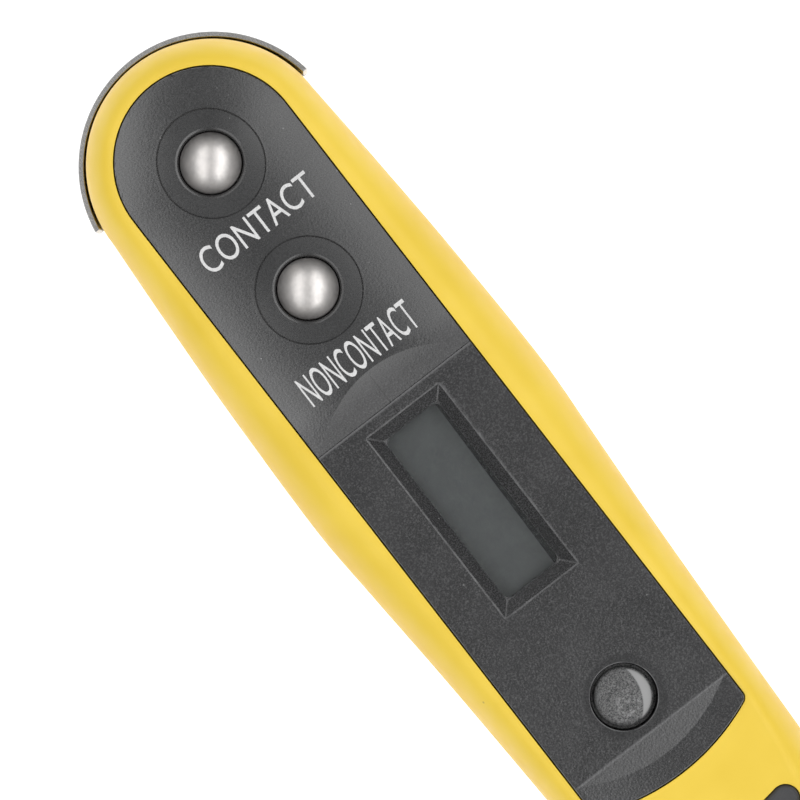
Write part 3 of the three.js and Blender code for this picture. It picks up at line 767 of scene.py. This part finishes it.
def makeLabel(name, label, material):
    pickOnly(None)
    bpy.ops.object.text_add(location=(0, 0, 0))
    text = bpy.context.object
    text.data.body = label["words"]
    text.data.align_x = "CENTER"
    text.data.resolution_u = 5
    text.data.extrude = 0.1
    bpy.ops.object.convert(target="MESH")
    text = bpy.context.object
    spots = [vert.co.copy() for vert in text.data.vertices]
    lowX, highX = min(s.x for s in spots), max(s.x for s in spots)
    lowY, highY = min(s.y for s in spots), max(s.y for s in spots)
    for vert in text.data.vertices:
        x = ((vert.co.x - lowX) / (highX - lowX) - 0.5) * label["wide"] + label["middle"]
        along = label["at"] - (vert.co.y - lowY) / (highY - lowY) * label["high"]
        height = labels["lift"] if vert.co.z > 0 else labels["lift"] - labels["thick"]
        vert.co = place(x, along, troughFloor(x, along) + height)
    clean(text, 0.000001)
    return finishPiece(text, name, "housing", material)


whitePrint = labelPrint()
makeLabel("upperLabel", labels["upper"], whitePrint)
makeLabel("lowerLabel", labels["lower"], whitePrint)
print("labels done")


# buttons and their springs

button = {
    "radius": 2.52,
    "rimZ": 12.9,
    "high": 1.4,
    "skirt": 1.3,
    "flange": (3.3, 0.45),
    "wall": 0.42,
    "inside": (1.2, 0.4),    # rise of the inner round, and thickness on the middle line
    "springRadius": 1.5,
    "wire": 0.2,
    "springHigh": 4.15,
    "turns": 3.5,
    "springFootZ": 8.85,
    "pressed": 0.0008,
}
domeSteel = brushedMetal("domeSteel", (0.64, 0.615, 0.595), 0.4, (1, 1, 1), 0.2, 0.012, (0.44, 0.43, 0.425))
springWire = brushedMetal("springWire", (0.42, 0.43, 0.45), 0.3, (1, 1, 1), 0.08, 0.002)


def capArc(edge, high, topZ, steps):
    # (radius, height) pairs over a round cap, from its top to its edge
    ball = (edge * edge + high * high) / (2 * high)
    sweep = math.asin(edge / ball)
    return [(ball * math.sin(sweep * i / steps), topZ - ball * (1 - math.cos(sweep * i / steps)))
            for i in range(steps + 1)]


def makeButton(name, along):
    high, wall = button["high"], button["wall"]
    flange, thick = button["flange"]
    inner = button["radius"] - wall
    outerRun = capArc(button["radius"], high, high, 28)
    outerRun[-1] = (button["radius"] - 0.03, outerRun[-1][1] + 0.02)
    innerRise, crown = button["inside"]
    innerRun = capArc(inner, innerRise, high - crown, 14)
    profile = outerRun + [(button["radius"], -0.06), (button["radius"], -button["skirt"] + 0.1),
                          (button["radius"] + 0.1, -button["skirt"]), (flange - 0.05, -button["skirt"]),
                          (flange, -button["skirt"] - 0.05), (flange, -button["skirt"] - thick),
                          (inner, -button["skirt"] - thick)] + innerRun[::-1]
    dome = turned(profile, place(0, along, button["rimZ"]), 96)
    smooth(dome, 40)
    return finishPiece(dome, f"{name}Dome", f"{name}_button", domeSteel, [f"{name}_button"])


def coil(centre, radius, wire, height, turns, along=False):
    # a round wire swept up its helix, with closed ends
    pickOnly(None)
    bpy.ops.mesh.primitive_circle_add(vertices=14, radius=wire * mm, location=(radius * mm, 0, 0),
                                      rotation=(math.pi / 2, 0, 0))
    wireRing = bpy.context.object
    bpy.ops.object.transform_apply(location=True, rotation=True, scale=True)
    steps = round(turns * 40)
    applied(wireRing, "SCREW", angle=turns * 2 * math.pi, screw_offset=(height - 2 * wire) * mm,
            steps=steps, render_steps=steps, axis="Z")
    selectIn(wireRing, "VERT", lambda vert: True)
    bpy.ops.mesh.fill_holes(sides=0)
    outOfEdit()
    if along:
        wireRing.rotation_euler = (math.pi / 2, 0, 0)
        wireRing.location = centre + Vector((0, -wire * mm, 0))
    else:
        wireRing.location = centre + Vector((0, 0, wire * mm))
    settle(wireRing)
    clean(wireRing, 0.000002)
    smooth(wireRing, 50)
    return wireRing


def makeButtonSpring(name, along):
    foot = place(0, along, button["springFootZ"])
    spring = coil(foot, button["springRadius"], button["wire"], button["springHigh"], button["turns"])
    finishPiece(spring, f"{name}Coil", "housing", springWire, [f"{name}_spring"])
    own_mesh(spring)


for name, along in zip(("direct", "sensing"), panel["buttonPlaces"]):
    makeButton(name, along)
    makeButtonSpring(name, along)
print("buttons done")


# display window and lamp

lamp = {
    "radius": 2.45,
    "shoulder": 2.7,
    "ground": 0.6,           # how far the worn end falls to its rim
    "collar": (2.7, 4.05),
    "flange": (2.9, 1.0),
    "hollow": (1.6, 3.0, 3.3),
    "footZ": 8.85,
    "crescent": (-2.39, 64.56, 4.0),   # what isn't within this circle is painted pale, a painted reflection
    "sparkleSpot": (-0.2, 66.4, 0.9),
    "rim": 2.2,
}


def frostedLens():
    # ground plastic, grainy, with a painted reflection: a pale crescent where the flange inside catches the
    # light, and a painted sparkle towards the blade
    finish = Finish("lampClear")
    grain = finish.noise(0.13, 4, 0.7)
    colour = finish.mixed(finish.spread(grain, 0, 1, 0.4, 0.6), (0.02, 0.021, 0.022), (0.19, 0.19, 0.19))
    shine = finish.spread(finish.noise(0.5, 5, 0.75), 0, 1, 0.52, 0.6)
    # painted sparkle: a pale patchy spot in the lens towards the blade
    x, along, reach = lamp["sparkleSpot"]
    shine = finish.sums("MULTIPLY", shine, finish.spread(finish.away(x, along), 1, 0, reach, reach + 0.8))
    colour = finish.mixed(finish.sums("MULTIPLY", shine, 0.55), colour, (0.40, 0.40, 0.40))
    # painted reflection: the pale crescent
    x, along, reach = lamp["crescent"]
    past = finish.spread(finish.away(x, along), 0, 1, reach - 0.05, reach + 0.05)
    within = finish.spread(finish.away(0, panel["lampAt"]), 1, 0, lamp["rim"], lamp["rim"] + 0.12)
    crescent = finish.sums("MULTIPLY", past, within)
    finish.use("Base Color", finish.mixed(crescent, colour, (0.36, 0.36, 0.36)))
    finish.use("Roughness", finish.spread(grain, 0.4, 0.6, 0.3, 0.7))
    finish.use("Transmission Weight", 0.25)
    finish.use("IOR", 1.49)
    finish.bump(grain, 0.02, 0.6)
    return finish.material


clearWindow = clearPlastic("clearWindow", (0.80, 0.82, 0.82), 0.03, 0.5, 0.002)
lampClear = frostedLens()


def makeWindow():
    paneX, paneY = display["paneHalf"]
    low, high = display["paneZ"]
    pane = block(place(-paneX, display["at"] + paneY, low), place(paneX, display["at"] - paneY, high))
    selectIn(pane, "EDGE", lambda edge: abs((edge.verts[0].co - edge.verts[1].co).z) > 0.3 * mm)
    bpy.ops.mesh.bevel(offset=0.5 * mm, segments=6)
    outOfEdit()
    smooth(pane, 10)
    finishPiece(pane, "windowPane", "housing", clearWindow, ["display_window"])


def makeLamp():
    radius = lamp["radius"]
    flange, thick = lamp["flange"]
    hollow, hollowSide, hollowTop = lamp["hollow"]
    top, ground = lamp["shoulder"] + radius, lamp["ground"]
    dome = [(radius * math.sin(math.radians(a)) ** 0.6, top - ground * (1 - math.cos(math.radians(a))))
            for a in range(0, 91, 5)]
    collar, collarTop = lamp["collar"]
    profile = dome + [(radius, collarTop), (collar - 0.04, collarTop), (collar, collarTop - 0.04),
                      (collar, thick + 0.05), (collar + 0.05, thick), (flange - 0.05, thick),
                      (flange, thick - 0.05), (flange, 0), (hollow, 0), (hollow, hollowSide),
                      (hollow * 0.7, hollowTop - 0.08), (0, hollowTop)]
    lens = turned(profile, place(0, panel["lampAt"], lamp["footZ"]), 96)
    smooth(lens, 40)
    finishPiece(lens, "lampLens", "housing", lampClear, ["lamp_lens"])


makeWindow()
makeLamp()
print("display and lamp done")


# pocket clip: one sheet of spring steel from the band to the arm's tip

clip = {
    "sheet": 0.45,
    "width": 9.0,
    "bandRadius": 10.8,
    "bandEndAt": 8.65,
    "bandTopZ": 7.2,
    "plateZ": 2.925,         # middle of the sheet under the casing
    "bend": 0.55,            # outer radius between the plate and the band
    "stepAt": (19.1, 21.1),
    "hingeAt": 22.75,
    "give": 1.2,             # how far the real sheet can bend each way from the hinge
    "touchAt": 53.5,
    "tipAt": 57.4,
    "tipZ": 1.325,
    "endRadius": 3.6,
    "endCentreAt": 53.8,
    "screwHole": 1.05,
}
clipSteel = brushedMetal("clipSteel", (0.55, 0.55, 0.55), 0.24, (1, 0.12, 1), 0.05, 0.002,
                         (0.46, 0.46, 0.465))


def clipLine(along):
    # height of the middle of the sheet, from the band's plate to the tip
    start, end = clip["stepAt"]
    rootZ = clip["sheet"] / 2
    if along < end:
        share = min(max((along - start) / (end - start), 0), 1)
        return clip["plateZ"] + (rootZ - clip["plateZ"]) * share * share * (3 - 2 * share)
    rise = curveThrough([(22.3, rootZ), (23.2, rootZ + 0.08), (clip["touchAt"] - 1.2, 2.84),
                         (clip["touchAt"], 2.875), (clip["touchAt"] + 1.2, 2.72),
                         (clip["tipAt"], clip["tipZ"])])
    return rise(along)


def clipHalf(along):
    full = clip["width"] / 2
    if along <= 21.9:
        return full
    if along < clip["endCentreAt"]:
        share = (along - 21.9) / (clip["endCentreAt"] - 21.9)
        return full + (clip["endRadius"] - full) * share
    past = min(along - clip["endCentreAt"], clip["endRadius"])
    return math.sqrt(max(clip["endRadius"] ** 2 - past * past, 0))


def makeClip():
    outer, sheet, bend = clip["bandRadius"] + clip["sheet"], clip["sheet"], clip["bend"]
    low = clip["plateZ"] - sheet / 2
    inner = bend - 0.2
    outside = arc(bend, -90, 0, 6, (outer - bend, low + bend))
    inside = arc(inner, 0, -90, 5, (outer - sheet - inner, low + sheet + inner))
    cup = turned([(0, low)] + outside + [(outer, clip["bandTopZ"] - 0.05), (outer - 0.05, clip["bandTopZ"]),
                                         (outer - sheet + 0.05, clip["bandTopZ"]),
                                         (outer - sheet, clip["bandTopZ"] - 0.05)]
                 + inside + [(0, low + sheet)], place(0, casing["buttCentre"], 0), 192)
    selectIn(cup, "FACE", lambda face: True)
    bpy.ops.mesh.bisect(plane_co=place(0, clip["bandEndAt"], 0), plane_no=(0, 1, 0),
                        use_fill=True, clear_inner=True)
    outOfEdit()
    clean(cup, 0.000002)

    start, end = clip["bandEndAt"] - 1, clip["endCentreAt"] + clip["endRadius"]

    def placeOf(across, travel):
        near = 1 - (1 - travel) ** 1.35
        along = start + (end - start) * near
        x = (across * 2 - 1) * clipHalf(along)
        return place(x, along, clipLine(along))

    strip = shapedGrid(10, 180, placeOf)
    clean(strip, 0.000002)
    applied(strip, "SOLIDIFY", thickness=sheet * mm, offset=0, use_even_offset=True)
    cut(cup, strip, "UNION")
    cut(cup, post(clip["screwHole"], place(0, panel["screwPlaces"][0], 3), 4, 48))
    clean(cup, 0.000002)
    softEdges(cup, 0.06, 50)
    smooth(cup, 30)
    finishPiece(cup, "pocketClip", None, clipSteel, ["clip_collar", "clip_arm"])
    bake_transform(cup)


makeClip()
print("clip done")


# nose collar, blade, sleeve and screws

nose = {
    "collarAt": 104.1,
    "collar": [(3.78, 0), (5.4, 0), (5.3, 2), (4.4, 5.6), (3.9, 6.1), (2.42, 6.1), (2.42, 5.2), (3.78, 5.2)],
    "sleeveAt": 109.6,
    "sleeve": [(1.68, 0), (2.3, 0), (2.3, 17.5), (2.1, 18), (1.68, 18)],
}
blade = {
    "flangeAt": (94.3, 95.6),
    "flange": 2.8,
    "halfX": curveThrough([(83, 1.3), (83.3, 1.6), (128, 1.6), (130.5, 1.55), (138.05, 1.55)]),
    "halfZ": curveThrough([(83, 1.3), (83.3, 1.6), (128, 1.6), (130.5, 1.15), (133.5, 0.6), (138.05, 0.28)]),
    "square": curveThrough([(128, 1), (130.5, 0.9), (133.5, 0.5), (138.05, 0.2)]),
    "tipAt": 138.05,
}
probeSpring = {"at": 73.8, "radius": 1.35, "wire": 0.22, "length": 9.1, "turns": 5}
screw = {
    "neckZ": 11.2,           # its tip inside the boss
    "head": [(1.3, 0), (1.62, 0.1), (1.83, 0.28), (1.9, 0.5), (1.9, 0.95)],
    "shank": 0.8,
    "slot": (1.1, 0.2, 0.55),   # half length, half width and depth of the cross
}
collarPlastic = sparkedPlastic("collarPlastic", 0.16, 0.02)
sleevePlastic = plainPlastic("sleevePlastic", (0.02, 0.02, 0.022), (0.03, 0.03, 0.032), 0.38, 0.3, 0.01)
bladeSteel = brushedMetal("bladeSteel", (0.62, 0.62, 0.63), 0.22, (1, 0.08, 1), 0.05, 0.002)
screwSteel = brushedMetal("screwSteel", (0.50, 0.50, 0.51), 0.3, (1, 1, 1), 0.09, 0.003)


def closedRun(profile):
    return profile + profile[:1]


def makeNose():
    collar = turned(closedRun(nose["collar"]), place(0, nose["collarAt"], partingZ), 96, along=True)
    softEdges(collar, 0.15, 25, 3)
    smooth(collar, 30)
    finishPiece(collar, "noseCollar", "housing", collarPlastic, ["nose_collar"])
    sleeve = turned(closedRun(nose["sleeve"]), place(0, nose["sleeveAt"], partingZ), 72, along=True)
    softEdges(sleeve, 0.1, 25, 3)
    smooth(sleeve, 30)
    finishPiece(sleeve, "bladeSleeve", "housing", sleevePlastic, ["blade_sleeve"])


def makeBlade():
    back, front = blade["flangeAt"]
    stations = [83, 83.1, 83.2, 83.3, back - 0.01, back, front, front + 0.01, 110, 127, 128]
    stations += [128 + 0.5 * i for i in range(1, 21)] + [blade["tipAt"]]

    def placeOf(across, travel):
        along = stations[round(across * (len(stations) - 1))]
        turn = travel * 2 * math.pi
        power = blade["square"](along)
        spread = blade["flange"] / 1.6 if back <= along <= front else 1
        c, s = math.cos(turn), math.sin(turn)
        x = math.copysign(abs(c) ** power, c) * blade["halfX"](along) * spread
        z = math.copysign(abs(s) ** power, s) * blade["halfZ"](along) * spread
        return place(x, along, partingZ + z)

    rod = shapedGrid(len(stations) - 1, 96, placeOf)
    selectIn(rod, "VERT", lambda vert: True)
    bpy.ops.mesh.remove_doubles(threshold=0.000002)
    bpy.ops.mesh.fill_holes(sides=0)
    bpy.ops.mesh.normals_make_consistent(inside=False)
    outOfEdit()
    softEdges(rod, 0.05, 50)
    smooth(rod, 25)
    finishPiece(rod, "probeBlade", "housing", bladeSteel, ["probe_blade"])
    back = place(0, probeSpring["at"], partingZ)
    coilSpring = coil(back, probeSpring["radius"], probeSpring["wire"], probeSpring["length"],
                      probeSpring["turns"], along=True)
    finishPiece(coilSpring, "probeCoil", "housing", springWire, ["probe_spring"])


def makeScrew(name, along, headZ):
    length = screw["neckZ"] - headZ
    shank, head = screw["shank"], screw["head"]
    profile = [(0, 0)] + head + [(shank, head[-1][1]), (shank, length), (0, length)]
    piece = turned(profile, place(0, along, headZ), 48)
    reach, narrow, deep = screw["slot"]
    for wide, tall in ((reach, narrow), (narrow, reach)):
        cut(piece, block(place(-wide, along + tall, headZ - 1), place(wide, along - tall, headZ + deep)))
    clean(piece, 0.000002)
    softEdges(piece, 0.04, 40)
    smooth(piece, 30)
    finishPiece(piece, f"{name}Screw", "housing", screwSteel, [f"{name}_screw"])


makeNose()
makeBlade()
for name, along in zip(("upper", "lower"), panel["screwPlaces"]):
    makeScrew(name, along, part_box(f"{name}_screw")[0].z / mm)
print("nose, blade and screws done")


# finishes for the pieces that keep their shape from the frame

def crystalCell():
    finish = Finish("crystalCell")
    mottle = finish.noise(0.35, 4, 0.6)
    finish.use("Base Color", finish.mixed(finish.spread(mottle, 0, 1, 0.35, 0.65),
                                          (0.030, 0.033, 0.034), (0.040, 0.043, 0.044)))
    finish.use("Roughness", finish.spread(mottle, 0.22, 0.3, 0.3, 0.7))
    finish.bump(mottle, 0.002, 0.5)
    return finish.material


def polariserFilm():
    finish = Finish("polariserFilm")
    mottle = finish.noise(0.3, 4, 0.6)
    fibres = finish.noise(0.05, 2, 0.5, finish.stretched(1, 0.05, 1))
    tone = finish.sums("ADD", finish.sums("MULTIPLY", mottle, 0.7), finish.sums("MULTIPLY", fibres, 0.3))
    finish.use("Base Color", finish.mixed(finish.spread(tone, 0, 1, 0.35, 0.65),
                                          (0.140, 0.146, 0.147), (0.175, 0.180, 0.180)))
    finish.use("Roughness", finish.spread(mottle, 0.3, 0.42, 0.3, 0.7))
    finish.bump(mottle, 0.003, 0.5)
    return finish.material


def boardLaminate():
    finish = Finish("boardLaminate")
    weave = finish.noise(0.12, 2, 0.5)
    tracks = finish.noise(1.2, 1, 0.4)
    colour = finish.mixed(finish.spread(tracks, 0, 1, 0.49, 0.51),
                          (0.012, 0.045, 0.02), (0.02, 0.065, 0.028))
    finish.use("Base Color", colour)
    finish.use("Roughness", finish.spread(weave, 0.3, 0.4, 0.3, 0.7))
    finish.bump(finish.sums("ADD", weave, tracks), 0.01, 0.6)
    return finish.material


keptNodes = {
    "display_polariser": polariserFilm(),
    "lcd_cell": crystalCell(),
    "zebra_strip_left": plainPlastic("contactRubber", (0.25, 0.16, 0.18), (0.32, 0.2, 0.22), 0.6, 0.08),
    "display_frame": plainPlastic("frameWhite", (0.70, 0.70, 0.68), (0.76, 0.76, 0.74), 0.45),
    "circuit_board": boardLaminate(),
    "chip_blob": plainPlastic("chipResin", (0.012, 0.012, 0.013), (0.02, 0.02, 0.022), 0.3, 0.6, 0.02),
    "safety_resistor": plainPlastic("resistorCoat", (0.32, 0.42, 0.55), (0.38, 0.48, 0.60), 0.35),
    "filter_capacitor": plainPlastic("partCeramic", (0.45, 0.33, 0.20), (0.52, 0.40, 0.26), 0.4),
    "bias_resistor": plainPlastic("partBlack", (0.018, 0.018, 0.02), (0.03, 0.03, 0.03), 0.35),
    "lamp_lead_cup": brushedMetal("leadSteel", (0.58, 0.58, 0.58), 0.3, (1, 1, 1), 0.1, 0.003),
    "probe_contact_tab": brushedMetal("contactBrass", (0.68, 0.50, 0.20), 0.28, (1, 0.2, 1), 0.06, 0.002),
}
sameFinish = {
    "zebra_strip_right": "zebra_strip_left",
    "lamp_resistor": "bias_resistor",
    "clamp_diode": "bias_resistor",
    "lamp_lead_post": "lamp_lead_cup",
}
for node, like in sameFinish.items():
    keptNodes[node] = keptNodes[like]
for node, material in keptNodes.items():
    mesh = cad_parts[node].data
    mesh.materials.clear()
    mesh.materials.append(material)
print("kept pieces finished")


# floor, light and camera

def makeFloor():
    pickOnly(None)
    bpy.ops.mesh.primitive_plane_add(size=3, location=(0, 0, 0))
    floor = bpy.context.object
    floor.name = "studioFloor"
    paper = Finish("paleFloor")
    fibre = paper.noise(3, 3)
    paper.use("Base Color", paper.mixed(fibre, (0.84, 0.84, 0.84), (0.86, 0.86, 0.86)))
    paper.use("Roughness", 0.9)
    paper.use("Emission Color", (1, 1, 1, 1))
    paper.use("Emission Strength", 0.6)
    floor.data.materials.append(paper.material)


view = {
    "x": 0.37,
    "along": 35.1,
    "wide": 65.2,
    "lens": 200,
    "sensor": 36,
    "turn": -37.75,
}
light = {
    "sky": 0.32,
    "tilt": 32,              # degrees off the vertical, towards the left and right of the view
    "away": 0.5,
    "size": (0.3, 1.4),
    "power": (2.3, 3.1),
}


def makeCamera():
    distance = view["lens"] * view["wide"] / view["sensor"]
    pickOnly(None)
    bpy.ops.object.camera_add(location=place(view["x"], view["along"], panel["topZ"] + distance),
                              rotation=(0, 0, math.radians(view["turn"])))
    camera = bpy.context.object
    camera.data.lens = view["lens"]
    camera.data.sensor_width = view["sensor"]
    camera.data.clip_start = 0.01
    bpy.context.scene.camera = camera


def makeLight():
    world = bpy.data.worlds.new("tent")
    bpy.context.scene.world = world
    world.use_nodes = True
    sky = world.node_tree.nodes["Background"]
    sky.inputs["Color"].default_value = (1, 1, 1, 1)
    sky.inputs["Strength"].default_value = light["sky"]
    turn = math.radians(view["turn"])
    tilt = math.radians(light["tilt"])
    right = Vector((math.cos(turn), math.sin(turn), 0))
    middle = place(0, view["along"], panel["topZ"])
    for name, way, power in zip(("leftBank", "rightBank"), (-1, 1), light["power"]):
        where = middle + (right * way * math.sin(tilt) + Vector((0, 0, math.cos(tilt)))) * light["away"]
        pickOnly(None)
        bpy.ops.object.light_add(type="AREA", location=where, rotation=(0, way * tilt, turn))
        bank = bpy.context.object
        bank.name = name
        bank.data.shape = "RECTANGLE"
        bank.data.size, bank.data.size_y = light["size"]
        bank.data.energy = power


makeFloor()
makeCamera()
makeLight()
bpy.context.scene.view_settings.view_transform = "Standard"
print("stage done")
